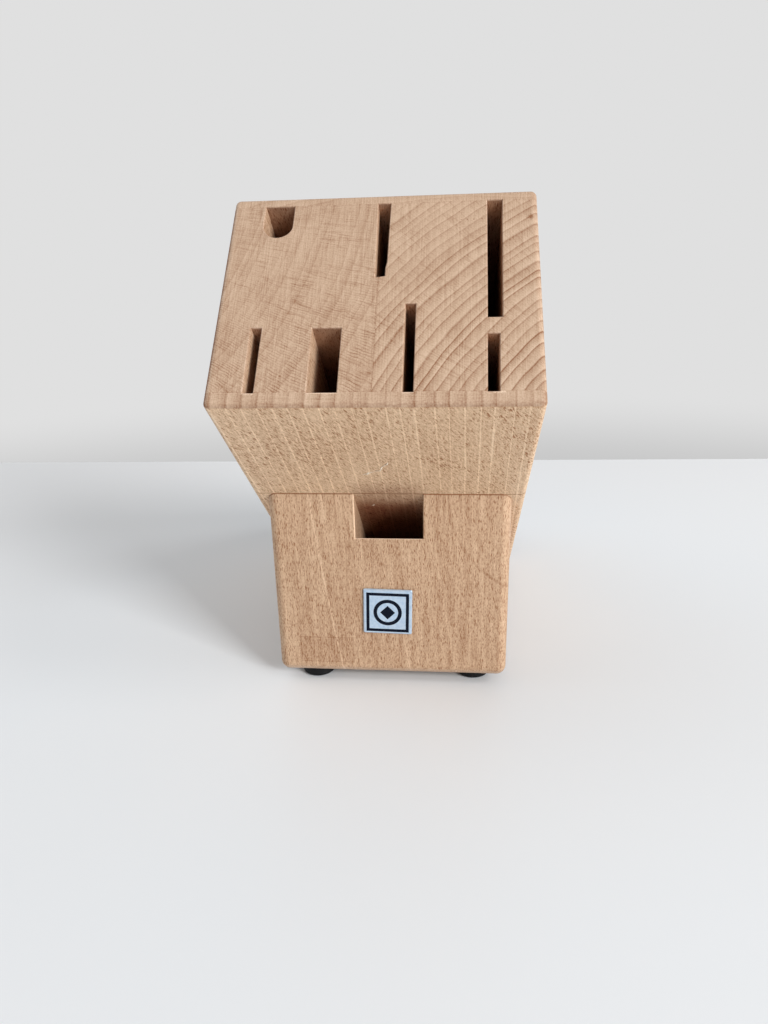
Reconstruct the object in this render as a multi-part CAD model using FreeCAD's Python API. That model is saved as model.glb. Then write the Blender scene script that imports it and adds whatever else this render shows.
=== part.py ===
import FreeCAD, Part
import os
from math import cos, radians, sin, sqrt
from FreeCAD import Placement, Rotation, Vector

# An empty slanted knife block, glued up from beech boards.
#
# Row frame: +X right, +Y backwards, +Z up, millimetres. The origin is on the ground, under the middle of the
# whole block. The slotted end face looks forwards and up.
#
# The boards are drawn in the block's own frame (x, s, t) and then leaned back into place:
#   x  left to right, 0 on the glue line between the two core boards
#   s  along the block's axis, 0 on the slotted end face, growing towards the lower end
#   t  across the boards, 0 on the underside, growing towards the back

# ---------------------------------------------------------------- driving dimensions

lean = 42.0                      # degrees that the block's axis slopes below the horizontal
block_width = 120.0
block_thickness = 97.3           # underside to back
block_length = 250.0             # end face to lower end
edge_radius = 2.4                # rounding of the block's outer edges
front_cover_thickness = 5.5
back_cover_thickness = 5.1
slot_arris = 0.35                # small chamfer round each slot mouth

foot_width = 108.4
foot_front_height = 90.8         # wood only, without the rubber feet
foot_edge_radius = 4.5
foot_tail_depth = 98.0           # front face to the cut-off tail of the wedge
overhang = 73.0                  # how far the block stands out past the foot, along the underside

shears_slot_left = -15.0
shears_slot_right = 15.5
shears_slot_depth = 15.5         # into the foot, square to the underside
shears_slot_length = 105.0       # from the foot's front, along the axis
shears_cutter_radius = 6.0
shears_slot_arris = 0.45         # small chamfer round the slot's mouth in the foot's front

saw_radius = 100.0               # saw blade that cuts the knife grooves and leaves their run-out
front_groove_run = 128.0         # full depth of the grooves cut from the front
back_groove_run = 148.0          # full depth of the grooves cut from the back
steel_groove_run = 212.0         # straight part of the round-nosed groove for the sharpening steel
steel_groove_x = -40.85
steel_groove_radius = 5.75
steel_groove_bottom = 76.5       # t of the round bottom

rubber_radius = 8.0
rubber_height = 4.9
rubber_edge_radius = 1.6
front_rubber_feet = {"left": (-37.25, 11.4), "right": (38.85, 13.7)}    # x, distance behind the foot's front
rear_rubber_feet = {"left": (-38.5, 139.0), "right": (38.5, 139.0)}

screw_head_radius = 3.0
screw_head_height = 1.8
screw_shank_radius = 1.5
screw_length = 14.0              # below the head
screw_point = 2.5
screw_tip_radius = 0.2
screw_head_recess = 0.9          # how far the head sits above the ground
screw_slot_width = 0.8
screw_slot_depth = 0.9

dowel_radius = 5.0
dowel_x = 32.5
dowel_s = 118.0
dowel_half_length = 20.0
dowel_end_chamfer = 1.0

badge_side = 22.6
badge_thickness = 0.8
badge_corner_radius = 0.8
badge_x = -1.1
badge_height = 33.7              # centre of the badge above the foot's wooden bottom
badge_turn = 1.3                 # degrees clockwise, as it was stuck on by hand
badge_bevel = 0.45               # round the plate's face
badge_line_side = 19.8           # outside of the dark square line
badge_line_width = 1.45
badge_line_drop = 0.3            # the line and the motif sit a little low on the plate
badge_ring_radius = 6.6          # the plain ring inside the line
badge_ring_width = 1.7
badge_dot_side = 4.9             # the upright diamond inside the ring
enamel_depth = 0.25
pad_side = 20.6
pad_thickness = 0.35

# ---------------------------------------------------------------- what follows from them

slope = radians(lean)
core_front = front_cover_thickness
core_back = block_thickness - back_cover_thickness
half_width = block_width / 2
hair = 0.1                       # closeness when picking an edge by its middle

# The block's front corner, where the end face meets the underside, in the row frame.
front_corner_y = -(block_length * cos(slope) + block_thickness * sin(slope)) / 2
front_corner_z = rubber_height + foot_front_height + overhang * sin(slope)
foot_front_y = front_corner_y + overhang * cos(slope)

# Outlines of the knife slots in the end face, as (x, t) corners: the two at the cover that closes the
# groove first. Some narrow a little towards their bottom, as the saw wandered.
front_slots = {
    "narrow": [(-45.8, core_front), (-42.0, core_front), (-42.0, 33.3), (-45.9, 33.3)],
    "wide": [(-23.0, core_front), (-12.3, core_front), (-12.4, 32.8), (-23.1, 32.8)],
    "carving": [(10.6, core_front), (14.4, core_front), (14.4, 43.1), (10.6, 43.1)],
    "short": [(39.9, core_front), (44.0, core_front), (44.4, 29.4), (40.2, 29.4)],
}
back_slots = {
    "middle": [(-1.6, core_back), (3.3, core_back), (2.95, 62.8), (2.4, 59.9), (2.4, 56.3), (-1.2, 55.8)],
    "chef": [(40.8, core_back), (46.5, core_back), (45.6, 36.6), (40.3, 36.6)],
}


# ---------------------------------------------------------------- helpers

def leaned(shape):
    """Take a shape from the block's frame to the row frame."""
    turn = Rotation(Vector(1, 0, 0), -lean)
    moved = shape.copy()
    moved.Placement = Placement(Vector(0, front_corner_y, front_corner_z), turn)
    return moved


def box(x0, x1, y0, y1, z0, z1):
    """A box between two corners."""
    return Part.makeBox(x1 - x0, y1 - y0, z1 - z0, Vector(x0, y0, z0))


def prism(corners, along):
    """The solid swept by a flat outline of points."""
    outline = Part.makePolygon(corners + corners[:1])
    return Part.Face(outline).extrude(along)


def edges_near(shape, test):
    """The shape's edges whose middle passes a test."""
    return [edge for edge in shape.Edges if test(edge.CenterOfMass)]


def one_solid(shape):
    """A boolean's result as a plain solid."""
    solids = shape.removeSplitter().Solids
    if len(solids) != 1:
        raise ValueError("expected one solid, got %d" % len(solids))
    return solids[0]


# ---------------------------------------------------------------- the grooves

def saw_path(face, bottom, run):
    """Side outline of a saw-cut groove, where x is 0: full depth, then the blade's arc up to the face."""
    into = 1 if bottom > face else -1
    depth = abs(bottom - face)
    centre_t = bottom - into * saw_radius
    runout = sqrt(saw_radius ** 2 - (saw_radius - depth) ** 2)
    halfway = runout / 2
    arc_middle = Vector(0, run + halfway, centre_t + into * sqrt(saw_radius ** 2 - halfway ** 2))
    start = Vector(0, -1, face)
    low = Vector(0, -1, bottom)
    turn = Vector(0, run, bottom)
    end = Vector(0, run + runout, face)
    edges = [
        Part.makeLine(start, low),
        Part.makeLine(low, turn),
        Part.Arc(turn, arc_middle, end).toShape(),
        Part.makeLine(end, start),
    ]
    return Part.Face(Part.Wire(edges))


def saw_groove(corners, run):
    """A knife groove: the slot's outline along the axis, cut off by the saw's path."""
    face = corners[0][1]
    bottom = max((t for x, t in corners), key=lambda t: abs(t - face))
    mouth = [Vector(x, -1, t) for x, t in corners]
    straight = prism(mouth, Vector(0, block_length, 0))
    path = saw_path(face, bottom, run)
    path.translate(Vector(-half_width, 0, 0))
    return straight.common(path.extrude(Vector(block_width, 0, 0)))


def slot_chamfer(corners):
    """The chamfer round a slot mouth, as one tapered solid."""
    middle_x = sum(x for x, t in corners) / len(corners)
    middle_t = sum(t for x, t in corners) / len(corners)
    wires = []
    for s, grow in ((-slot_arris, 2 * slot_arris), (slot_arris, 0)):
        ring = []
        for x, t in corners:
            side = grow if x > middle_x else -grow
            rise = grow if t > middle_t else -grow
            ring.append(Vector(x + side, s, t + rise))
        wires.append(Part.makePolygon(ring + ring[:1]))
    return Part.makeLoft(wires, True, True)


def steel_groove():
    """The round-nosed groove for the sharpening steel, with the cutter's round end."""
    x, r = steel_groove_x, steel_groove_radius
    middle_t = steel_groove_bottom + r
    rise = core_back - middle_t
    straight = box(x - r, x + r, -1, steel_groove_run, middle_t, core_back)
    trough = Part.makeCylinder(r, steel_groove_run + 1, Vector(x, -1, middle_t), Vector(0, 1, 0))
    plunge = Part.makeCylinder(r, rise, Vector(x, steel_groove_run, middle_t), Vector(0, 0, 1))
    nose = Part.makeSphere(r, Vector(x, steel_groove_run, middle_t))
    return straight.fuse([trough, plunge, nose])


def steel_chamfer():
    """The chamfer round the steel's mouth."""
    x, r = steel_groove_x, steel_groove_radius
    middle_t = steel_groove_bottom + r
    start = Vector(x, -slot_arris, middle_t)
    cone = Part.makeCone(r + 2 * slot_arris, r, 2 * slot_arris, start, Vector(0, 1, 0))
    half = box(x - 2 * r, x + 2 * r, -1, 1, middle_t - 2 * r, middle_t)
    corners = [(x - r, middle_t), (x + r, middle_t), (x + r, core_back), (x - r, core_back)]
    above = box(x - 2 * r, x + 2 * r, -1, 1, middle_t, block_thickness)
    return cone.common(half).fuse(slot_chamfer(corners).common(above))


def all_grooves():
    """Every groove in the cores, with its chamfered mouth."""
    cuts = [steel_groove(), steel_chamfer()]
    for slots, run in ((front_slots, front_groove_run), (back_slots, back_groove_run)):
        for corners in slots.values():
            cuts.append(saw_groove(corners, run))
            cuts.append(slot_chamfer(corners))
    return cuts


# ---------------------------------------------------------------- the slanted block

def block_envelope():
    """The whole glued-up block before grooving: rounded all round, its foot cut level with the ground."""
    base_start = (front_corner_z - rubber_height) / sin(slope)
    base_end = (block_length - base_start) * sin(slope) / cos(slope)
    side = [
        Vector(-half_width, 0, 0),
        Vector(-half_width, base_start, 0),
        Vector(-half_width, block_length, base_end),
        Vector(-half_width, block_length, block_thickness),
        Vector(-half_width, 0, block_thickness),
    ]
    whole = prism(side, Vector(block_width, 0, 0))
    heel = Vector(0, base_start, 0)
    outer = edges_near(whole, lambda middle: middle.sub(heel).Length > 1)
    return whole.makeFillet(edge_radius, outer)


def block_boards():
    """The two covers and the two cores, cut from the envelope."""
    far = 2 * block_length
    envelope = block_envelope()
    layers = {
        "front_cover_board": box(-far, far, -far, far, -1, core_front),
        "back_cover_board": box(-far, far, -far, far, core_back, block_thickness + 1),
        "core_left": box(-far, 0, -far, far, core_front, core_back),
        "core_right": box(0, far, -far, far, core_front, core_back),
    }
    cuts = all_grooves() + [dowel_blank(side) for side in (-1, 1)]
    return {name: one_solid(envelope.common(layer).cut(cuts)) for name, layer in layers.items()}


def dowel_blank(side):
    """A dowel hole or a plain dowel, square to the underside, half in the block and half in the foot."""
    centre = Vector(side * dowel_x, dowel_s, -dowel_half_length)
    return Part.makeCylinder(dowel_radius, 2 * dowel_half_length, centre, Vector(0, 0, 1))


def dowel(side):
    """A dowel with chamfered ends."""
    blank = dowel_blank(side)
    rims = edges_near(blank, lambda middle: abs(abs(middle.z) - dowel_half_length) < hair)
    return leaned(blank.makeChamfer(dowel_end_chamfer, rims))


# ---------------------------------------------------------------- the foot block

def shears_pocket():
    """The wide slot for kitchen shears, open at the foot's front, with round corners at its far end."""
    start = overhang - shears_slot_depth
    end = overhang + shears_slot_length
    pocket = box(shears_slot_left, shears_slot_right, start, end, -shears_slot_depth, 0)

    def far_corner(middle):
        return middle.y > end - hair and abs(middle.z + shears_slot_depth / 2) < hair

    return leaned(pocket.makeFillet(shears_cutter_radius, edges_near(pocket, far_corner)))


def foot_block():
    """The wedge under the block: a rounded box, cut off along the underside and at its tail."""
    half = foot_width / 2
    back = foot_front_y + 2 * foot_tail_depth
    top = rubber_height + 2 * foot_front_height
    blank = box(-half, half, foot_front_y, back, rubber_height, top)

    def rounded(middle):
        on_front = middle.y < foot_front_y + hair
        on_base = middle.z < rubber_height + hair
        return (on_front or on_base) and middle.y < back - hair and middle.z < top - hair

    wedge = blank.makeFillet(foot_edge_radius, edges_near(blank, rounded))
    above = leaned(box(-block_width, block_width, -block_length, 2 * block_length, 0, block_length))
    tail = box(-block_width, block_width, foot_front_y + foot_tail_depth, block_length, 0, block_length)
    cuts = [above, tail, shears_pocket()]
    cuts += [leaned(dowel_blank(side)) for side in (-1, 1)]
    wedge = wedge.cut(cuts)

    def slot_mouth(middle):
        in_front = middle.y < foot_front_y + hair and middle.z > foot_front_height / 2
        return in_front and shears_slot_left - hair < middle.x < shears_slot_right + hair

    return wedge.makeChamfer(shears_slot_arris, edges_near(wedge, slot_mouth))


# ---------------------------------------------------------------- rubber feet and their screws

def rubber_foot(x, y):
    """A round rubber foot with a soft lower edge and a stepped hole for its screw."""
    pad = Part.makeCylinder(rubber_radius, rubber_height, Vector(x, y, 0))
    lower_rim = edges_near(pad, lambda middle: middle.z < hair)
    pad = pad.makeFillet(rubber_edge_radius, lower_rim)
    head_top = screw_head_recess + screw_head_height
    head_hole = Part.makeCylinder(screw_head_radius, head_top, Vector(x, y, 0))
    shank_hole = Part.makeCylinder(screw_shank_radius, rubber_height, Vector(x, y, 0))
    return pad.cut([head_hole, shank_hole])


def screw_shank(x, y):
    """The shank and point of a foot screw, which is also the hole that it leaves in the wood."""
    start = screw_head_recess + screw_head_height
    straight = screw_length - screw_point
    shank = Part.makeCylinder(screw_shank_radius, straight, Vector(x, y, start))
    tip = Part.makeCone(screw_shank_radius, screw_tip_radius, screw_point, Vector(x, y, start + straight))
    return shank.fuse(tip)


def foot_screw(x, y):
    """A pan-head wood screw, head down, with a straight slot and a point."""
    head = Part.makeCylinder(screw_head_radius, screw_head_height, Vector(x, y, screw_head_recess))
    lower_rim = edges_near(head, lambda middle: middle.z < screw_head_recess + hair)
    head = head.makeFillet(screw_head_height / 2, lower_rim)
    half_slot = screw_slot_width / 2
    slot_top = screw_head_recess + screw_slot_depth
    slot = box(x - screw_head_radius, x + screw_head_radius, y - half_slot, y + half_slot, 0, slot_top)
    return one_solid(head.fuse(screw_shank(x, y)).cut(slot))


def ground_points():
    """Name and (x, y) of each rubber foot."""
    points = {}
    for place, feet in (("front", front_rubber_feet), ("rear", rear_rubber_feet)):
        for side, (x, behind) in feet.items():
            points[place + "_" + side] = (x, foot_front_y + behind)
    return points


# ---------------------------------------------------------------- the badge

def badge_placed(shape):
    """Take a badge piece, drawn flat with its back on z = 0, to the foot's front face."""
    moved = shape.copy()
    stand = Rotation(Vector(1, 0, 0), 90)
    turn = Rotation(Vector(0, 1, 0), badge_turn)
    place = Vector(badge_x, foot_front_y, rubber_height + badge_height)
    moved.Placement = Placement(place, turn.multiply(stand))
    return moved


def square_plate(side, low, thickness):
    """A flat square, centred."""
    return box(-side / 2, side / 2, -side / 2, side / 2, low, low + thickness)


def enamel_inlay():
    """The dark line and motif in the plate's face: a square frame, a ring and a diamond."""
    low = pad_thickness + badge_thickness - enamel_depth
    frame = square_plate(badge_line_side, low, enamel_depth)
    frame = frame.cut(square_plate(badge_line_side - 2 * badge_line_width, low, enamel_depth))
    ring = Part.makeCylinder(badge_ring_radius, enamel_depth, Vector(0, 0, low))
    ring = ring.cut(Part.makeCylinder(badge_ring_radius - badge_ring_width, enamel_depth, Vector(0, 0, low)))
    diamond = square_plate(badge_dot_side, low, enamel_depth)
    diamond.rotate(Vector(0, 0, 0), Vector(0, 0, 1), 45)
    pieces = [frame, ring, diamond]
    for piece in pieces:
        piece.translate(Vector(0, -badge_line_drop, 0))
    return Part.makeCompound(pieces)


def badge_plate():
    """The metal plate, bevelled round its face, with the enamel's recesses cut in it."""
    plate = square_plate(badge_side, pad_thickness, badge_thickness)
    upright = edges_near(plate, lambda middle: abs(abs(middle.x) - abs(middle.y)) < 0.01)
    plate = plate.makeFillet(badge_corner_radius, upright)
    face = pad_thickness + badge_thickness
    rim = edges_near(plate, lambda middle: middle.z > face - hair)
    return plate.makeChamfer(badge_bevel, rim).cut(enamel_inlay().Solids)


# ---------------------------------------------------------------- the assembly

def assembly():
    """Every piece by name, in the row frame."""
    feet = ground_points()
    holes = [screw_shank(x, y) for x, y in feet.values()]
    pieces = {name: leaned(board).cut(holes) for name, board in block_boards().items()}
    pieces["foot_block"] = foot_block().cut(holes)
    pieces = {name: one_solid(wood) for name, wood in pieces.items()}
    for side, name in ((-1, "joint_dowel_left"), (1, "joint_dowel_right")):
        pieces[name] = dowel(side)
    for name, (x, y) in feet.items():
        pieces["rubber_foot_" + name] = rubber_foot(x, y)
        pieces["foot_screw_" + name] = foot_screw(x, y)
    pieces["badge_adhesive_pad"] = badge_placed(square_plate(pad_side, 0, pad_thickness))
    pieces["badge_plate"] = badge_placed(badge_plate())
    pieces["badge_enamel"] = badge_placed(enamel_inlay())
    return pieces


os.makedirs("parts", exist_ok=True)
for name, shape in assembly().items():
    shape.exportStep("parts/" + name + ".step")
    print(name, "valid" if shape.isValid() else "BROKEN", round(shape.Volume), "mm3")
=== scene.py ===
import math

import bpy
from mathutils import Matrix, Vector


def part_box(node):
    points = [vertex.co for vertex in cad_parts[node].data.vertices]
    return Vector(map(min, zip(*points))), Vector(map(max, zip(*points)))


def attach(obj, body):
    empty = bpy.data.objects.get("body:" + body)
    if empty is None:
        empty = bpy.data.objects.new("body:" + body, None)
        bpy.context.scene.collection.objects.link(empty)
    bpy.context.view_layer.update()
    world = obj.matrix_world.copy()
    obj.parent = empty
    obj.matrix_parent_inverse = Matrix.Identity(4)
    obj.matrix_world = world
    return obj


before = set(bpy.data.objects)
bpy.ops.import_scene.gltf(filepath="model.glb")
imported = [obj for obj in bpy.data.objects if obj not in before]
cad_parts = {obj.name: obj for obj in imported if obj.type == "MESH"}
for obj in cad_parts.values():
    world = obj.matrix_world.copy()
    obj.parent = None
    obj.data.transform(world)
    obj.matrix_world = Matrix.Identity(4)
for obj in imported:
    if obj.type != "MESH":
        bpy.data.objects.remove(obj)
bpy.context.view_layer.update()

# Looks for the empty slanted knife block: solid-wood beech, a metal badge, rubber feet, floor, light, camera.
# Everything is in metres in the row frame: +X right, +Y backwards, +Z up, the ground at z = 0.

MM = 0.001
LEAN = math.radians(42.0)        # slope of the block's axis below the horizontal

# The block's own frame, in which its boards lie straight: x across, s down the axis, t from underside to back.
# Its origin is the front corner, where the slotted face and the underside meet.
foot_low, foot_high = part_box("foot_block")
FOOT_FRONT = foot_low.y
OVERHANG = 73.0                  # from that corner to the foot's front, along the underside, in mm
CORNER = Vector((0, FOOT_FRONT - OVERHANG * MM * math.cos(LEAN), foot_high.z + OVERHANG * MM * math.sin(LEAN)))

# Places in the block's own frame, in mm.
FRONT_GLUE = 5.5                 # t of the glue line between the front cover and the cores
BACK_GLUE = 92.2                 # t of the glue line between the cores and the back cover
MIDDLE_T = 48                    # t about halfway through the block, where the rays' spacing is measured
SLOTS_HALF_WIDTH = 57.0          # the knife slots are all within this of x = 0, and the block's sides are not
SLOTS_FRONT = 3.0                # and they are all between these two t, and its underside and back are not
SLOTS_BACK = 94.0

# The slot for the shears, in mm.
NOTCH_REACH = 15.8               # a little past its walls and its floor, from x = 0 and from the underside
NOTCH_MIDDLE = 0.25              # x of its middle
NOTCH_HALF_WIDTH = 15.45         # to its chamfered edge
NOTCH_FLOOR = 74.6               # height of its lower edge in the foot's front

# Wood colours. A board's own colour is multiplied by its tone: DARK_TONE at -0.5, MIDDLE_TONE (which counts as
# unchanged) at 0, and white at 0.5.
DARK_TONE = (0.35, 0.215, 0.14)
MIDDLE_TONE = (0.70, 0.645, 0.60)
PAINTED_SHADE_TINT = (0.30, 0.12, 0.07, 1.0)     # what is left of the colour where the painted shade is full: a dark brown


# ---------------------------------------------------------------- shader shorthand

class Nodes:
    """Builds a node tree a step at a time. Every method returns an output socket."""

    def __init__(self, tree):
        self.tree = tree
        tree.nodes.clear()

    def set(self, socket, value):
        """Link a socket to an output, or give it a constant."""
        if isinstance(value, bpy.types.NodeSocket):
            self.tree.links.new(value, socket)
        else:
            socket.default_value = value

    def node(self, kind, **settings):
        made = self.tree.nodes.new("ShaderNode" + kind)
        for name, value in settings.items():
            setattr(made, name, value)
        return made

    def math(self, operation, a, b=0.0, c=0.0, clamp=False):
        made = self.node("Math", operation=operation, use_clamp=clamp)
        for socket, value in zip(made.inputs, (a, b, c)):
            self.set(socket, value)
        return made.outputs[0]

    def vector(self, operation, a, b=(0, 0, 0)):
        made = self.node("VectorMath", operation=operation)
        self.set(made.inputs[0], a)
        self.set(made.inputs[1], b)
        return made.outputs["Value" if operation in ("LENGTH", "DISTANCE", "DOT_PRODUCT") else "Vector"]

    def split(self, vector):
        made = self.node("SeparateXYZ")
        self.set(made.inputs[0], vector)
        return made.outputs[0], made.outputs[1], made.outputs[2]

    def join(self, x, y, z):
        made = self.node("CombineXYZ")
        for socket, value in zip(made.inputs, (x, y, z)):
            self.set(socket, value)
        return made.outputs[0]

    def noise(self, vector, scale=1.0, detail=2.0, roughness=0.5, colour=False):
        made = self.node("TexNoise")
        self.set(made.inputs["Vector"], vector)
        self.set(made.inputs["Scale"], scale)
        self.set(made.inputs["Detail"], detail)
        self.set(made.inputs["Roughness"], roughness)
        return made.outputs["Color" if colour else "Fac"]

    def ramp(self, value, low, high, start=0.0, end=1.0):
        """Smoothly from start to end as the value goes from low to high."""
        made = self.node("MapRange", interpolation_type="SMOOTHSTEP")
        names = ("Value", "From Min", "From Max", "To Min", "To Max")
        for name, number in zip(names, (value, low, high, start, end)):
            self.set(made.inputs[name], number)
        return made.outputs[0]

    def mix(self, factor, a, b, blend="MIX"):
        """Mix two colours. Sockets 6 and 7 and output 2 are the Mix node's colour ones."""
        made = self.node("Mix", data_type="RGBA", blend_type=blend)
        self.set(made.inputs[0], factor)
        self.set(made.inputs[6], a)
        self.set(made.inputs[7], b)
        return made.outputs[2]


class Shader(Nodes):
    """A material round one Principled surface."""

    def __init__(self, name):
        self.material = bpy.data.materials.new(name)
        self.material.use_nodes = True
        super().__init__(self.material.node_tree)
        self.surface = self.node("BsdfPrincipled")
        self.set(self.node("OutputMaterial").inputs["Surface"], self.surface.outputs["BSDF"])

    def constants(self, **values):
        """Constants on the surface, such as Roughness=0.5."""
        for name, value in values.items():
            self.surface.inputs[name.replace("_", " ")].default_value = value

    def place(self):
        """Position in the object's own frame, in metres."""
        return self.node("TexCoord").outputs["Object"]

    def paint(self, colour):
        self.set(self.surface.inputs["Base Color"], colour)

    def gloss(self, roughness):
        self.set(self.surface.inputs["Roughness"], roughness)

    def bump(self, height, strength, distance):
        """Uneven the surface. A height of 1 stands for the distance, in metres."""
        made = self.node("Bump")
        self.set(made.inputs["Height"], height)
        made.inputs["Strength"].default_value = strength
        made.inputs["Distance"].default_value = distance
        self.set(self.surface.inputs["Normal"], made.outputs[0])


def rgb(red, green, blue):
    """A colour given as 0 to 255 screen values, made linear."""
    def linear(value):
        value /= 255
        return value / 12.92 if value <= 0.04045 else ((value + 0.055) / 1.055) ** 2.4
    return (linear(red), linear(green), linear(blue), 1.0)


# ---------------------------------------------------------------- beech

class Board:
    """Solid beech for one board. The tone of every layer is added up, 0 being the board's own colour.

    The grain's frame is the block's frame for a board that lies along the axis. The foot's grain stands
    upright: along is the height above the ground, and through is the depth behind its front, negated.
    """

    def __init__(self, name, pith, lying=True, ring_slope=0.0, wander=5.0):
        self.shader = Shader(name)
        self.tone = 0.0
        self.height = 0.0
        self.grain_way = (0, math.cos(LEAN), -math.sin(LEAN)) if lying else (0, 0, 1)
        self.block = self.placed(CORNER, -LEAN)
        self.grain = self.block if lying else self.placed((0, FOOT_FRONT, 0), math.pi / 2)
        self.across, self.along, self.through = self.shader.split(self.grain)
        self.find_end_grain()
        self.find_radius(pith, ring_slope, wander)

    def placed(self, origin, turn):
        """Position in mm in a frame of its own."""
        shader = self.shader
        mapping = shader.node("Mapping", vector_type="TEXTURE")
        shader.set(mapping.inputs["Vector"], shader.place())
        mapping.inputs["Location"].default_value = origin
        mapping.inputs["Rotation"].default_value = (turn, 0, 0)
        mapping.inputs["Scale"].default_value = (MM, MM, MM)
        return mapping.outputs[0]

    def find_end_grain(self):
        """1 where the surface looks along the grain, 0 where it runs beside it."""
        shader = self.shader
        self.normal = shader.node("NewGeometry").outputs["Normal"]
        facing = shader.math("ABSOLUTE", shader.vector("DOT_PRODUCT", self.normal, self.grain_way))
        self.end = shader.ramp(facing, 0.12, 0.50)
        # Between the two, as on a rounded edge: 0 on both kinds of face, 1 halfway.
        self.rounding = shader.math("MULTIPLY", facing, shader.math("MULTIPLY_ADD", facing, -4.0, 4.0))
        self.side = shader.math("SUBTRACT", 1.0, self.end)

    def find_radius(self, pith, ring_slope, amount):
        """Distance from the tree's centre and length round it, in mm, with the grain's slow wander."""
        shader = self.shader
        slow = shader.vector("MULTIPLY", self.grain, (0.03, 0.006, 0.03))
        wander = shader.noise(slow, detail=2.0, colour=True)
        wander = shader.vector("SUBTRACT", wander, (0.5, 0.5, 0.5))
        wander = shader.vector("MULTIPLY", wander, (amount, amount, amount))
        bend_x, _, bend_t = shader.split(wander)
        lean_x = shader.math("MULTIPLY_ADD", self.along, -ring_slope, shader.math("ADD", self.across, bend_x))
        from_pith_x = shader.math("SUBTRACT", lean_x, pith[0])
        from_pith_t = shader.math("SUBTRACT", shader.math("ADD", self.through, bend_t), pith[1])
        self.radius = shader.vector("LENGTH", shader.join(from_pith_x, from_pith_t, 0.0))
        straight_x = shader.math("SUBTRACT", self.across, pith[0])
        straight_x = shader.math("MULTIPLY", straight_x, math.copysign(1, -pith[0]))
        turn = shader.math("ARCTAN2", shader.math("SUBTRACT", self.through, pith[1]), straight_x)
        self.arc = shader.math("MULTIPLY", turn, math.hypot(pith[0], pith[1] - MIDDLE_T))

    def add(self, layer, amount, where=None):
        """Lighten or darken by a layer, everywhere or in one place."""
        if where is not None:
            layer = self.shader.math("MULTIPLY", layer, where)
        self.tone = self.shader.math("MULTIPLY_ADD", layer, amount, self.tone)

    def noise(self, x, s, t, seed=0.0, detail=1.0):
        """Noise between about -0.25 and 0.25, with a scale per mm for each direction."""
        place = self.shader.node("VectorMath", operation="MULTIPLY_ADD")
        self.shader.set(place.inputs[0], self.grain)
        place.inputs[1].default_value = (x, s, t)
        place.inputs[2].default_value = (seed, seed, seed)
        return self.shader.math("SUBTRACT", self.shader.noise(place.outputs[0], detail=detail), 0.5)

    def clouds(self, amount):
        """Slow changes of tone, longer along the grain."""
        self.add(self.noise(0.06, 0.015, 0.06, seed=3.0, detail=3.0), amount)

    def ring_count(self, spacing, uneven):
        """How many rings lie between the pith and here, with years that grew more and less."""
        shader = self.shader
        shift = shader.noise(shader.join(shader.math("MULTIPLY", self.radius, 0.11), 0.0, 0.0), detail=1.0)
        return shader.math("MULTIPLY_ADD", shift, uneven, shader.math("DIVIDE", self.radius, spacing))

    def rings(self, spacing, amount, line=0.6, where=None, uneven=2.6):
        """Growth rings: outwards from the pith each darkens slowly, ends in a line, then turns pale at once."""
        shader = self.shader
        phase = self.ring_count(spacing, uneven)
        part = shader.math("FRACT", phase)
        which = shader.node("TexWhiteNoise", noise_dimensions="1D")
        shader.set(which.inputs["W"], shader.math("FLOOR", phase))
        strength = shader.math("MULTIPLY_ADD", which.outputs["Value"], 0.9, 0.45)
        fade = shader.math("MULTIPLY_ADD", part, -1.7, 0.9)
        start = shader.ramp(part, 0.0, 0.12)
        profile = shader.math("MULTIPLY_ADD", start, shader.math("ADD", fade, 0.8), -0.8)
        profile = shader.math("MULTIPLY_ADD", shader.ramp(part, 0.84, 0.95), -line, profile)
        self.add(shader.math("MULTIPLY", profile, strength), amount, where)

    def pale_lines(self, spacing, width, amount, uneven):
        """Rings met edge on: thin pale lines, all of one strength."""
        shader = self.shader
        part = shader.math("FRACT", self.ring_count(spacing, uneven))
        away = shader.math("MULTIPLY", shader.math("SUBTRACT", 0.93, part), spacing)
        self.line(away, width, amount, self.side)

    def threads(self, width, length, thin, seed=0.0):
        """Thin broken lines outwards from the pith: 1 on a line, 0 beside it."""
        shader = self.shader
        sway = shader.math("MULTIPLY", self.noise(0.09, 0.01, 0.09, seed=71.0), 1.2)
        around = shader.math("DIVIDE", shader.math("ADD", self.arc, sway), width)
        outwards = shader.math("DIVIDE", self.radius, length)
        level = shader.noise(shader.join(around, outwards, seed), detail=1.0)
        return shader.ramp(shader.math("ABSOLUTE", shader.math("SUBTRACT", level, 0.5)), thin, 0.0)

    def rays(self, amount, ruled=0.0):
        """Rays seen on end grain: thin dark lines outwards from the pith, bold, fine, and in even ranks."""
        shader = self.shader
        patchy = shader.math("MULTIPLY_ADD", self.noise(0.05, 0.05, 0.07, seed=51.0), 4.0, 0.55, clamp=True)
        bold = shader.math("MULTIPLY", self.threads(2.2, 30.0, 0.045), patchy)
        self.add(bold, -amount, self.end)
        self.add(self.threads(1.0, 12.0, 0.07, seed=8.0), -0.4 * amount, self.end)
        if ruled:
            sway = shader.math("MULTIPLY", self.noise(0.22, 0.01, 0.22, seed=83.0), 1.6)
            rank = shader.math("FRACT", shader.math("ADD", shader.math("DIVIDE", self.arc, 1.15), sway))
            thin = shader.ramp(shader.math("ABSOLUTE", shader.math("SUBTRACT", rank, 0.5)), 0.20, 0.05)
            height = shader.math("ADD", self.through, shader.math("MULTIPLY", self.across, -0.25))
            low = shader.ramp(height, 75.0, 25.0, 0.25, 1.0)
            patches = self.noise(0.16, 0.05, 0.16, seed=91.0, detail=2.0)
            faint = shader.math("MULTIPLY_ADD", patches, 3.0, 0.5, clamp=True)
            self.add(shader.math("MULTIPLY", shader.math("MULTIPLY", thin, low), faint), -ruled, self.end)

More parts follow.
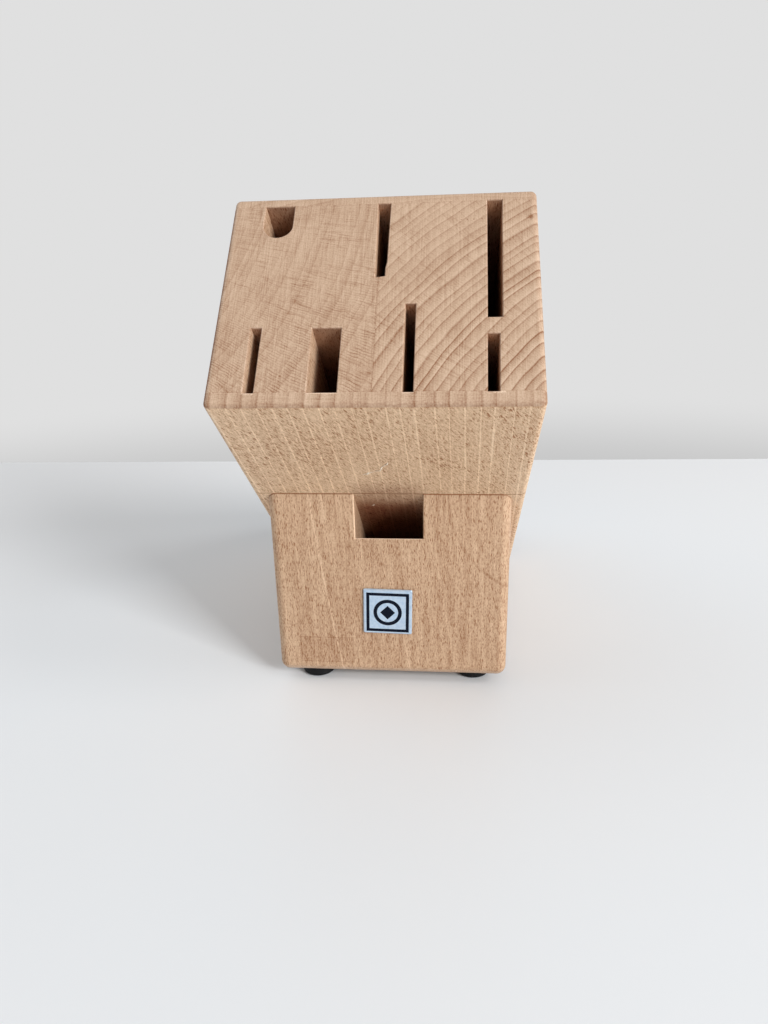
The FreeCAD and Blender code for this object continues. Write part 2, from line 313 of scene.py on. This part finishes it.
    def flecks(self, amount, size=(0.9, 4.4), slope=0.0, reach=0.20, crowding=0.35, seeds=(0.0, 40.0)):
        """Rays seen on a long face: short dark spindles along the grain. A second seed adds smaller ones."""
        shader = self.shader
        lean_x = shader.math("MULTIPLY_ADD", self.along, -slope, self.across)
        crowd = self.noise(0.05, 0.02, 0.05, seed=9.0)
        for seed, scale in zip(seeds, (1.0, 0.7)):
            wide, long = size[0] * scale, size[1] * scale
            cells = shader.node("TexVoronoi")
            shader.set(cells.inputs["Vector"], shader.join(
                shader.math("DIVIDE", lean_x, wide),
                shader.math("MULTIPLY_ADD", self.along, 1 / long, seed),
                shader.math("DIVIDE", self.through, wide)))
            cells.inputs["Scale"].default_value = 1.0
            own_size, own_strength, _ = shader.split(cells.outputs["Color"])
            size_here = shader.math("MULTIPLY_ADD", crowd, crowding, reach)
            size_here = shader.math("MULTIPLY_ADD", own_size, reach, size_here)
            inside = shader.math("SUBTRACT", size_here, cells.outputs["Distance"])
            strength = shader.math("MULTIPLY_ADD", own_strength, 0.8, 0.2)
            self.add(shader.math("MULTIPLY", shader.ramp(inside, -0.03, 0.12), strength), -amount, self.side)

    def fibres(self, amount):
        """Streaks and pores along the grain on the long faces."""
        self.add(self.noise(0.35, 0.012, 0.35, seed=17.0, detail=2.0), 0.8 * amount, self.side)
        self.add(self.noise(1.15, 0.05, 1.15, seed=19.0, detail=2.0), amount, self.side)
        self.add(self.noise(2.4, 0.22, 2.4, seed=23.0, detail=1.0), 0.8 * amount, self.side)

    def speckle(self, amount):
        """Pores, too small to make out one by one."""
        self.add(self.noise(1.7, 1.1, 1.7, seed=31.0, detail=2.0), amount)

    def ripple(self, amount, slope):
        """Slanting unevenness left by the planer on a long face."""
        shader = self.shader
        lean_x = shader.math("MULTIPLY_ADD", self.along, -slope, self.across)
        spot = shader.join(shader.math("MULTIPLY", lean_x, 1.2), shader.math("MULTIPLY", self.along, 0.32), 7.0)
        wave = shader.math("SUBTRACT", shader.noise(spot, detail=2.0), 0.5)
        self.add(wave, amount, self.side)
        self.height = shader.math("MULTIPLY_ADD", shader.math("MULTIPLY", wave, self.side), 2.0, self.height)

    def sanding(self, angle, amount, pitch=2.1, seed=0.0):
        """Fine scratches across the end grain, at an angle from the x axis."""
        shader = self.shader
        cos, sin = math.cos(math.radians(angle)), math.sin(math.radians(angle))
        run = shader.math("MULTIPLY_ADD", self.through, sin, shader.math("MULTIPLY", self.across, cos))
        side = shader.math("MULTIPLY_ADD", self.through, cos, shader.math("MULTIPLY", self.across, -sin))
        spot = shader.join(shader.math("MULTIPLY", run, 0.05), shader.math("MULTIPLY", side, pitch), seed)
        scratch = shader.math("SUBTRACT", shader.noise(spot, detail=1.0), 0.5)
        self.add(scratch, amount, self.end)
        self.height = shader.math("MULTIPLY_ADD", shader.math("MULTIPLY", scratch, self.end), 1.2, self.height)

    def line(self, distance, width, amount, where=None):
        """A thin line, such as a glue joint, where a distance in mm is nearly 0."""
        shader = self.shader
        near = shader.ramp(shader.math("ABSOLUTE", distance), width, 0.3 * width)
        self.add(near, amount, where)

    def spot(self, x, t, size, amount):
        """A small dark mark on the end face, at a place in the block's own frame."""
        shader = self.shader
        away = shader.vector("DISTANCE", shader.vector("MULTIPLY", self.block, (1, 0, 1)), (x, 0, t))
        ragged = shader.math("MULTIPLY_ADD", self.noise(1.3, 1.3, 1.3, seed=97.0), 1.6 * size, away)
        self.add(shader.ramp(ragged, size, 0.2 * size), -amount, self.end)

    def arris(self, radius, amount):
        """Edges paler in broken lines: partly worn or torn by the cutter, partly a painted highlight where the
        edges would catch the light.
        """
        shader = self.shader
        bevel = shader.node("Bevel", samples=4)
        bevel.inputs["Radius"].default_value = radius * MM
        turned = shader.vector("DOT_PRODUCT", bevel.outputs[0], self.normal)
        edge = shader.ramp(turned, 0.995, 0.93)
        patches = self.noise(0.5, 0.5, 0.5, seed=61.0, detail=3.0)
        broken = shader.math("MULTIPLY_ADD", patches, 4.0, 0.55, clamp=True)
        self.add(shader.math("MULTIPLY", edge, broken), amount)

    def finish(self, end_colour, side_colour, roughness=0.46, shade=None):
        """Turn the tones into colour, gloss and bump."""
        shader = self.shader
        base = shader.mix(self.end, side_colour, end_colour)
        ramp = shader.node("ValToRGB")
        ramp.color_ramp.elements[0].color = (*DARK_TONE, 1.0)
        ramp.color_ramp.elements[1].color = (1.0, 1.0, 1.0, 1.0)
        ramp.color_ramp.elements.new(0.5).color = (*MIDDLE_TONE, 1.0)
        shader.set(ramp.inputs[0], shader.math("ADD", self.tone, 0.5))
        toned = shader.mix(1.0, base, ramp.outputs[0], blend="MULTIPLY")
        colour = shader.vector("MULTIPLY", toned, tuple(1 / part for part in MIDDLE_TONE))
        # Painted shade: where shade is given, the colour is multiplied towards a dark brown.
        if shade is not None:
            colour = shader.mix(shade, colour, PAINTED_SHADE_TINT, blend="MULTIPLY")
        shader.paint(colour)
        shader.gloss(shader.math("MULTIPLY_ADD", self.tone, -0.4, roughness, clamp=True))
        shader.constants(Specular_IOR_Level=0.3)
        shader.bump(shader.math("MULTIPLY_ADD", self.tone, 0.5, self.height), 0.4, 0.12 * MM)
        return shader.material


END_GRAIN = rgb(190, 161, 136)
LONG_GRAIN = rgb(211, 178, 147)
FOOT_GRAIN = rgb(191, 158, 128)
UNDER_GRAIN = rgb(218, 185, 151)


def left_core():
    """Left core: quiet rings, and clear rays that slope down to the right."""
    board = Board("beech_core_left", pith=(-198, 109), wander=3.5)
    board.clouds(0.35)
    board.rings(3.6, 0.08, line=0.5, where=board.end)
    board.rays(0.20, ruled=0.36)
    shaded_left_edge(board)
    board.spot(-33.0, 12.2, 0.55, 0.60)
    board.spot(-18.7, 74.2, 1.60, 0.16)
    board.sanding(90, 0.50)
    core_details(board)
    return board.finish(END_GRAIN, LONG_GRAIN, shade=painted_slot_shade(board))


def right_core():
    """Right core: bold rings that climb to the right."""
    board = Board("beech_core_right", pith=(152, -66), wander=4.5)
    board.clouds(0.45)
    shader = board.shader
    low_right = shader.ramp(shader.math("SUBTRACT", board.across, board.through), -80.0, 30.0, 0.7, 1.75)
    board.rings(3.6, 0.15, line=0.9, where=shader.math("MULTIPLY", board.end, low_right), uneven=1.9)
    board.rays(0.14, ruled=0.12)
    for x in (30.9, 33.1, 35.6, 38.7):
        board.spot(x, 82.7, 0.40, 0.45)
    board.spot(56.9, 83.2, 1.90, 0.35)
    board.sanding(90, 0.45, seed=2.0)
    core_details(board)
    return board.finish(END_GRAIN, LONG_GRAIN, shade=painted_slot_shade(board))


def core_details(board):
    """What both cores share: long faces, pores, pale edges (partly wear, partly painted highlight) and glue
    lines.
    """
    shader = board.shader
    board.rings(4.4, 0.05, where=board.side)
    board.flecks(0.80, size=(0.5, 3.2), reach=0.18, crowding=0.10)
    board.fibres(0.45)
    board.speckle(0.55)
    board.arris(0.32, 0.50)
    x, _, t = shader.split(board.block)
    board.line(shader.math("SUBTRACT", t, FRONT_GLUE), 0.4, -0.22, board.end)
    board.line(shader.math("SUBTRACT", t, BACK_GLUE), 0.4, -0.20, board.end)
    board.line(x, 0.35, -0.25, board.end)


def shaded_left_edge(board, amount=-0.75):
    """The end face's left edge, darker: painted shade on the rounding that turns away from the light."""
    shader = board.shader
    x, s, _ = shader.split(board.block)
    edge = shader.math("MULTIPLY", shader.ramp(x, -58.6, -59.8), shader.ramp(s, 3.2, 1.6))
    board.add(edge, amount)


def painted_slot_shade(board):
    """Painted shade inside the slots: darker and browner with depth, but much less on the walls that look
    right, towards the light.
    """
    shader = board.shader
    x, s, t = shader.split(board.block)
    inside = shader.math("LESS_THAN", shader.math("ABSOLUTE", x), SLOTS_HALF_WIDTH)
    inside = shader.math("MULTIPLY", inside, shader.math("GREATER_THAN", t, SLOTS_FRONT))
    inside = shader.math("MULTIPLY", inside, shader.math("LESS_THAN", t, SLOTS_BACK))
    looks_right = shader.split(board.normal)[0]
    turned_from_light = shader.ramp(looks_right, 0.5, 0.9, 1.0, 0.10)
    depth = shader.math("ADD", shader.ramp(s, 0.0, 0.5, 0.0, 0.55), shader.ramp(s, 4.0, 34.0, 0.0, 0.35))
    return shader.math("MULTIPLY", shader.math("MULTIPLY", inside, turned_from_light), depth)


def front_cover():
    """Front cover: sawn on the quarter, so its rings run as thin pale lines down the underside."""
    board = Board("beech_front_cover", pith=(-900, 20), ring_slope=0.02, wander=1.6)
    board.clouds(0.35)
    board.rings(5.6, 0.15, line=0.6, where=board.end, uneven=0.9)
    shaded_left_edge(board, -0.5)
    board.pale_lines(5.6, 0.42, 0.26, uneven=0.9)
    board.flecks(0.62, size=(1.5, 4.0), slope=0.45, reach=0.15, crowding=0.2, seeds=(5.0,))
    board.flecks(0.46, size=(0.8, 2.7), slope=0.45, reach=0.19)
    board.rays(0.14)
    board.sanding(90, 0.45, seed=7.0)
    board.fibres(0.30)
    board.speckle(0.7)
    board.ripple(0.85, slope=0.5)
    board.arris(0.2, 0.3)
    shader = board.shader
    x, s, t = shader.split(board.block)
    board.line(shader.math("SUBTRACT", s, OVERHANG), 0.45, -0.60, board.side)
    board.add(board.rounding, -0.15)
    # Pale chips on the end face, along the four front slots.
    for middle, half in ((-44.0, 2.2), (-17.7, 5.4), (12.5, 2.1), (43.8, 2.2)):
        under_slot = shader.math("LESS_THAN", shader.math("ABSOLUTE", shader.math("SUBTRACT", x, middle)), half)
        chipped = shader.math("MULTIPLY_ADD", board.noise(1.5, 1.5, 0.4, seed=29.0), 1.6, t)
        from_chip = shader.math("SUBTRACT", chipped, 5.15)
        board.line(from_chip, 0.45, 0.55, shader.math("MULTIPLY", board.end, under_slot))
    # Darker and browner ahead of the shears slot; where the underside is the slot's roof, painted shade that
    # deepens into the slot.
    from_middle = shader.math("ABSOLUTE", x)
    ahead = shader.math("MULTIPLY", shader.ramp(from_middle, 20.0, 10.0), shader.ramp(s, 57.0, 74.0, 0.0, 0.40))
    roof_shade = shader.math("LESS_THAN", from_middle, NOTCH_REACH)
    roof_shade = shader.math("MULTIPLY", roof_shade, shader.ramp(s, 75.0, 90.0, 0.0, 0.50))
    notch_darkening = shader.math("MULTIPLY", shader.math("ADD", ahead, roof_shade), shader.math("LESS_THAN", t, 0.5))
    return board.finish(END_GRAIN, UNDER_GRAIN, shade=shader.math("ADD", painted_slot_shade(board), notch_darkening))


def back_cover():
    """Back cover: sawn flat, so its rings open into long flames down the back."""
    board = Board("beech_back_cover", pith=(30, -120), ring_slope=0.05)
    board.clouds(0.32)
    board.rings(4.6, 0.08)
    board.flecks(0.85, size=(0.5, 3.4), reach=0.18, crowding=0.10)
    board.rays(0.10)
    board.sanding(90, 0.5, seed=8.0)
    board.fibres(0.45)
    board.speckle(0.6)
    board.arris(0.2, 0.3)
    board.add(board.rounding, -0.14)
    return board.finish(END_GRAIN, LONG_GRAIN, shade=painted_slot_shade(board))


def foot_wood():
    """The foot: upright grain, crowded with fine dark dashes, and a few slanting ring lines."""
    board = Board("beech_foot", pith=(-130, 190), lying=False, ring_slope=-0.2, wander=3.0)
    board.clouds(0.32)
    board.rings(7.0, 0.08, line=-1.2)
    board.flecks(1.0, size=(0.46, 3.0), reach=0.195, crowding=0.08)
    board.rays(0.10)
    board.sanding(90, 0.4, seed=9.0)
    board.fibres(0.60)
    board.speckle(0.6)
    board.arris(0.2, 0.35)
    growth_lines(board)
    faded_label(board)
    shader = board.shader
    x, s, t = shader.split(board.block)
    board.line(t, 0.5, -0.60)
    # A painted highlight: a pale line along the shears slot's chamfered lower and left edges, in the foot's
    # front, where the chamfer catches the light.
    beside = shader.math("ABSOLUTE", shader.math("SUBTRACT", x, NOTCH_MIDDLE))
    beside = shader.math("SUBTRACT", beside, NOTCH_HALF_WIDTH)
    from_highlit_edge = shader.math("MAXIMUM", beside, shader.math("SUBTRACT", NOTCH_FLOOR, board.along))
    on_front = shader.math("GREATER_THAN", board.through, -0.7)
    not_right_edge = shader.math("LESS_THAN", x, 15.0)
    board.line(from_highlit_edge, 0.45, 0.75, shader.math("MULTIPLY", on_front, not_right_edge))
    # Painted shade inside the shears slot, deeper with the distance from its mouth, and much less on the walls
    # that look right, towards the light.
    walls = shader.math("LESS_THAN", shader.math("ABSOLUTE", x), NOTCH_REACH)
    inside = shader.math("MULTIPLY", shader.math("GREATER_THAN", t, -NOTCH_REACH), walls)
    inside = shader.math("MULTIPLY", inside, shader.math("LESS_THAN", board.through, -0.6))
    depth = shader.math("ADD", shader.ramp(s, 73.2, 76.0, 0.0, 0.35), shader.ramp(s, 76.0, 92.0, 0.0, 0.55))
    turned_from_light = shader.ramp(shader.split(board.normal)[0], 0.5, 0.9, 1.0, 0.15)
    shade = shader.math("MULTIPLY", shader.math("MULTIPLY", inside, turned_from_light), depth)
    return board.finish(END_GRAIN, FOOT_GRAIN, shade=shade)


def growth_lines(board):
    """The foot's clearest lines: four pale ones that lean, and three dark arcs high on its right."""
    shader = board.shader
    lean = shader.math("MULTIPLY_ADD", board.along, 0.19, board.across)
    curve = shader.math("MULTIPLY", shader.math("POWER", shader.math("DIVIDE", board.along, 50.0), 2.0), -1.2)
    lean = shader.math("ADD", lean, curve)
    for place, width, amount in ((-21.5, 0.65, 0.26), (-16.0, 0.5, 0.15), (10.5, 0.5, 0.14), (32.0, 0.5, 0.12)):
        board.line(shader.math("SUBTRACT", lean, place), width, amount)
    middle_across, middle_along = 75.0, 95.0
    away_across = shader.math("SUBTRACT", board.across, middle_across)
    away_along = shader.math("SUBTRACT", board.along, middle_along)
    away = shader.vector("LENGTH", shader.join(away_across, away_along, 0.0))
    for radius, amount in ((48.4, -0.154), (41.0, -0.084), (56.0, -0.07)):
        board.line(shader.math("SUBTRACT", away, radius), 0.9, amount)


def faded_label(board):
    """A reddish patch low on the foot's left, with a thin outline, where something was once stuck on."""
    shader = board.shader
    past_edges = []
    for position, middle, half_size in ((board.across, -30.5, 12.5), (board.along, 17.5, 6.5)):
        from_middle = shader.math("ABSOLUTE", shader.math("SUBTRACT", position, middle))
        past_edges.append(shader.math("SUBTRACT", from_middle, half_size))
    edge = shader.math("MAXIMUM", *past_edges)
    front = shader.math("GREATER_THAN", board.through, -2.0)
    board.add(shader.ramp(edge, 0.8, -1.2), -0.10, front)
    board.line(edge, 0.45, -0.16, front)


def dowel_wood():
    """Dowels of paler beech."""
    board = Board("beech_dowel", pith=(20, 90))
    board.rings(3.5, 0.08)
    board.flecks(0.3)
    board.fibres(0.5)
    board.speckle(0.5)
    return board.finish(END_GRAIN, LONG_GRAIN)


# ---------------------------------------------------------------- the other materials

def black_rubber():
    """Matte moulded rubber with a fine grain and a little dust."""
    shader = Shader("black_rubber")
    place = shader.place()
    grain = shader.noise(place, scale=2600.0, detail=3.0)
    dust = shader.noise(place, scale=260.0, detail=4.0, roughness=0.7)
    colour = shader.mix(shader.ramp(dust, 0.5, 0.8, 0.0, 0.35), rgb(14, 15, 18), rgb(34, 34, 34))
    shader.paint(colour)
    shader.gloss(shader.math("MULTIPLY_ADD", grain, 0.2, 0.5))
    shader.constants(Specular_IOR_Level=0.22)
    shader.bump(grain, 0.3, 0.05 * MM)
    return shader.material


def badge_metal():
    """Satin plate, faintly blue, with fine brushing and small dull spots."""
    shader = Shader("badge_metal")
    place = shader.place()
    brush = shader.noise(shader.vector("MULTIPLY", place, (400.0, 400.0, 5200.0)), detail=3.0)
    spots = shader.noise(place, scale=700.0, detail=3.0)
    colour = shader.mix(shader.ramp(spots, 0.35, 0.75), rgb(196, 214, 232), rgb(176, 200, 224))
    shader.paint(colour)
    shader.gloss(shader.math("MULTIPLY_ADD", brush, 0.2, 0.22))
    shader.constants(Metallic=0.45)
    shader.bump(brush, 0.12, 0.02 * MM)
    return shader.material


def badge_enamel():
    """Blue-black enamel in the plate's lines."""
    shader = Shader("badge_enamel")
    place = shader.place()
    ripple = shader.noise(place, scale=900.0, detail=3.0)
    colour = shader.mix(shader.ramp(ripple, 0.3, 0.7), rgb(3, 10, 26), rgb(9, 17, 34))
    shader.paint(colour)
    shader.gloss(shader.math("MULTIPLY_ADD", ripple, 0.2, 0.35))
    shader.constants(Specular_IOR_Level=0.12)
    shader.bump(ripple, 0.15, 0.03 * MM)
    return shader.material


def foam_tape():
    """Dark foam tape behind the badge."""
    shader = Shader("adhesive_pad")
    place = shader.place()
    cells = shader.noise(place, scale=3000.0, detail=2.0)
    shader.paint(shader.mix(cells, rgb(46, 42, 40), rgb(74, 68, 64)))
    shader.constants(Roughness=0.9)
    shader.bump(cells, 0.6, 0.05 * MM)
    return shader.material


def zinc_steel():
    """Zinc-plated screws, slightly stained."""
    shader = Shader("screw_steel")
    place = shader.place()
    stain = shader.noise(place, scale=500.0, detail=4.0, roughness=0.65)
    colour = shader.mix(shader.ramp(stain, 0.35, 0.75), rgb(176, 176, 172), rgb(128, 124, 114))
    shader.paint(colour)
    shader.gloss(shader.math("MULTIPLY_ADD", stain, 0.3, 0.22))
    shader.constants(Metallic=1.0)
    shader.bump(stain, 0.2, 0.03 * MM)
    return shader.material


def white_top():
    """The pale floor: smooth white with a soft gloss, painted cooler and a little darker near the block to
    offset the warm light bounced off the wood.
    """
    shader = Shader("floor_white")
    place = shader.place()
    cloud = shader.noise(place, scale=4.0, detail=2.0)
    # Painted light: cooler near the block, against the warm bounced light.
    far = shader.ramp(shader.vector("LENGTH", place), 0.10, 0.40)
    bounce_offset_tint = shader.mix(far, rgb(226, 233, 239), rgb(232, 233, 235))
    shader.paint(shader.mix(cloud, bounce_offset_tint, rgb(232, 234, 236)))
    shader.constants(Roughness=0.38, Specular_IOR_Level=0.4)
    return shader.material


def torn_fibre():
    """Pale fibre that the planer lifted."""
    shader = Shader("torn_fibre")
    place = shader.place()
    strand = shader.noise(place, scale=2200.0, detail=2.0)
    shader.paint(shader.mix(strand, rgb(240, 222, 198), rgb(252, 242, 226)))
    shader.constants(Roughness=0.7)
    shader.bump(strand, 0.4, 0.03 * MM)
    return shader.material


# ---------------------------------------------------------------- dressing the CAD pieces

COATS = {
    "core_left": left_core(),
    "core_right": right_core(),
    "front_cover_board": front_cover(),
    "back_cover_board": back_cover(),
    "foot_block": foot_wood(),
    "joint_dowel": dowel_wood(),
    "rubber_foot": black_rubber(),
    "foot_screw": zinc_steel(),
    "badge_plate": badge_metal(),
    "badge_enamel": badge_enamel(),
    "badge_adhesive_pad": foam_tape(),
}

for node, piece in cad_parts.items():
    coat = next(material for start, material in COATS.items() if node.startswith(start))
    piece.data.materials.clear()
    piece.data.materials.append(coat)


# ---------------------------------------------------------------- small marks

def block_point(x, s, t):
    """A point of the block's own frame, in mm, as a place in the row frame."""
    down = Vector((0, math.cos(LEAN), -math.sin(LEAN)))
    out = Vector((0, math.sin(LEAN), math.cos(LEAN)))
    return CORNER + MM * (x * Vector((1, 0, 0)) + s * down + t * out)


def lifted_fibres(name, paths, thickness):
    """Torn fibres on the underside: tapering slivers that follow short crooked paths of (x, s)."""
    sides = 5
    verts, faces = [], []
    for path in paths:
        first = len(verts)
        for index, (x, s) in enumerate(path):
            share = index / (len(path) - 1)
            reach = thickness * (0.25 + math.sin(math.pi * share))
            lift = thickness * (0.2 + 0.6 * math.sin(math.pi * share))
            for corner in range(sides):
                angle = 2 * math.pi * corner / sides
                verts.append(block_point(x + reach * math.cos(angle), s, -lift - 0.5 * reach * math.sin(angle)))
        for ring in range(len(path) - 1):
            for corner in range(sides):
                a, b = first + ring * sides + corner, first + ring * sides + (corner + 1) % sides
                faces.append((a, b, b + sides, a + sides))
        last = first + (len(path) - 1) * sides
        faces.append(tuple(range(first + sides - 1, first - 1, -1)))
        faces.append(tuple(range(last, last + sides)))
    mesh = bpy.data.meshes.new(name)
    mesh.from_pydata(verts, [], faces)
    for face in mesh.polygons:
        face.use_smooth = True
    piece = bpy.data.objects.new(name, mesh)
    bpy.context.scene.collection.objects.link(piece)
    mesh.materials.append(torn_fibre())
    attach(piece, "root")


lifted_fibres("underside_splinters", (
    ((-8.9, 54.0), (-7.6, 53.0), (-6.3, 52.6), (-5.2, 51.6), (-3.8, 51.2)),
    ((-7.0, 53.9), (-6.4, 53.1), (-6.5, 52.2), (-5.9, 51.4)),
    ((-3.6, 50.6), (-2.6, 50.0), (-1.4, 50.1), (-0.7, 49.2)),
    ((-1.2, 49.6), (-0.4, 48.5), (-0.6, 47.6), (0.1, 46.4), (0.9, 46.0)),
    ((0.5, 46.3), (1.1, 45.0), (2.2, 44.2), (2.5, 42.8)),
    ((-8.2, 85.9), (-7.4, 85.3), (-6.9, 84.4)),
), 0.30)


# ---------------------------------------------------------------- floor, light and camera

TABLE_SIZE = 3.0
TABLE_BACK = 0.3468              # where the pale table meets the wall behind it, at x = 0
TABLE_SKEW = 0.0223              # how far that edge runs back for each metre to the right

mesh = bpy.data.meshes.new("table_top")
corners = [(-TABLE_SIZE, -TABLE_SIZE, 0), (TABLE_SIZE, -TABLE_SIZE, 0)]
corners += [(x, TABLE_BACK + TABLE_SKEW * x, 0) for x in (TABLE_SIZE, -TABLE_SIZE)]
mesh.from_pydata(corners, [], [(0, 1, 2, 3)])
table_top = bpy.data.objects.new("table_top", mesh)
bpy.context.scene.collection.objects.link(table_top)
mesh.materials.append(white_top())


LIGHT_TARGET = Vector((0, 0, 0.1))
LIGHT_DISTANCE = 4.0


def area_light(name, azimuth, elevation, size, power):
    """A square soft light that looks at the block, at angles in degrees: anticlockwise from +X, and upwards."""
    lamp = bpy.data.lights.new(name, "AREA")
    lamp.size = size
    lamp.energy = power
    lamp_object = bpy.data.objects.new(name, lamp)
    turn = Matrix.Rotation(math.radians(azimuth), 4, "Z")
    way = turn @ Matrix.Rotation(-math.radians(elevation), 4, "Y") @ Vector((1, 0, 0))
    lamp_object.location = LIGHT_TARGET + LIGHT_DISTANCE * way
    lamp_object.rotation_euler = way.to_track_quat("Z", "Y").to_euler()
    bpy.context.scene.collection.objects.link(lamp_object)


def studio_room():
    """A pale wall behind, darker just above the table, a soft glow from the left and little light elsewhere."""
    world = bpy.data.worlds.new("room")
    world.use_nodes = True
    nodes = Nodes(world.node_tree)
    background = nodes.node("Background")
    nodes.set(nodes.node("OutputWorld").inputs["Surface"], background.outputs[0])
    x, y, z = nodes.split(nodes.node("TexCoord").outputs["Generated"])
    behind = nodes.ramp(y, 0.0, 0.75)
    wall = nodes.ramp(z, -0.265, -0.16, 0.575, 0.745)
    left, not_in_front = nodes.ramp(x, -1.0, 0.0, 1.0, 0.0), nodes.ramp(y, -0.6, 0.0, 0.0, 1.44)
    glow = nodes.math("MULTIPLY_ADD", left, not_in_front, 0.25)
    level = nodes.math("MULTIPLY_ADD", behind, nodes.math("SUBTRACT", wall, glow), glow)
    nodes.set(background.inputs["Color"], level)
    return world


area_light("window", -41, 23, 1.3, 152.0)
area_light("side_window", -20, 42, 1.0, 23.0)
bpy.context.scene.world = studio_room()

# Solved from the block's straight edges in the photo: place in metres, angles in radians, lens in mm.
CAMERA_PLACE = Vector((0.0275, -0.3628, 0.1880))
CAMERA_YAW = 0.0999
CAMERA_PITCH = 0.3312            # downwards
CAMERA_ROLL = -0.0248
CAMERA_LENS = 24.64
CAMERA_SENSOR = 36.0

camera = bpy.data.cameras.new("camera")
camera.sensor_width = CAMERA_SENSOR
camera.lens = CAMERA_LENS
camera_object = bpy.data.objects.new("camera", camera)
bpy.context.scene.collection.objects.link(camera_object)
aim = Matrix.Rotation(CAMERA_YAW, 4, "Z") @ Matrix.Rotation(math.pi / 2 - CAMERA_PITCH, 4, "X")
camera_object.matrix_world = Matrix.Translation(CAMERA_PLACE) @ aim @ Matrix.Rotation(CAMERA_ROLL, 4, "Z")
bpy.context.scene.camera = camera_object
bpy.context.scene.view_settings.view_transform = "Standard"
